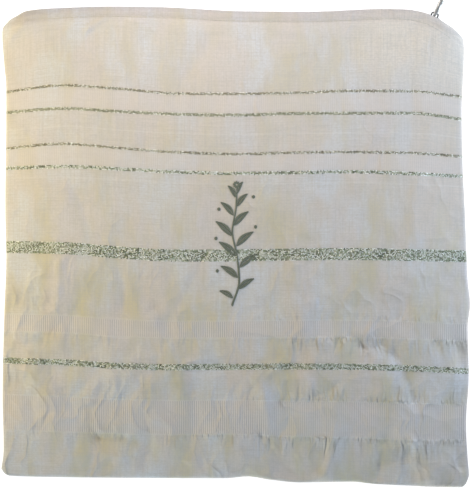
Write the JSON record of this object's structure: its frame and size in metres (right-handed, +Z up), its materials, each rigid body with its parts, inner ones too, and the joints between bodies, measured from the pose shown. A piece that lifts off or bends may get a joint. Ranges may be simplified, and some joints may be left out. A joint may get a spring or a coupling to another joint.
{
  "type": "tallit bag",
  "caption": "Flat square pouch of striped woven cloth for a folded prayer shawl, closed along its top edge by a zip with a swinging pull tab, lying on its back.",
  "frame": {"origin": "on the surface the bag lies on, below the middle of its outline with the pull tab", "axes": "+X towards the bag's right side seen from its front, +Y towards the zipped top edge, +Z up out of the front panel"},
  "size_m": [0.3049, 0.3174, 0.014],
  "materials": {
    "striped_cloth": "cream plain weave with ribbed satin bands and silver metallic stripes",
    "plain_cloth": "cream plain weave",
    "zip_tape": "cream twill tape with sewn coil teeth",
    "zip_metal": "worn nickel-grey die casting",
    "silver_thread": "glittering flat metallic yarn",
    "grey_green_thread": "dark grey-green embroidery thread with a metallic glint"
  },
  "bodies": {
    "bag": {"front_panel": "striped_cloth", "back_panel": "plain_cloth", "zip_tape_front": "zip_tape", "zip_tape_back": "zip_tape", "zip_slider": "zip_metal"},
    "pull": {"zip_pull_tab": "zip_metal"}
  },
  "joints": [
    {"name": "pull_tab_swing", "type": "hinge", "parent": "bag", "child": "pull", "pos_m": [0.1296, 0.1485, 0.00503], "axis": [0.0353, 0.0796, 0.9962], "range_deg": [-76, 80]}
  ]
}
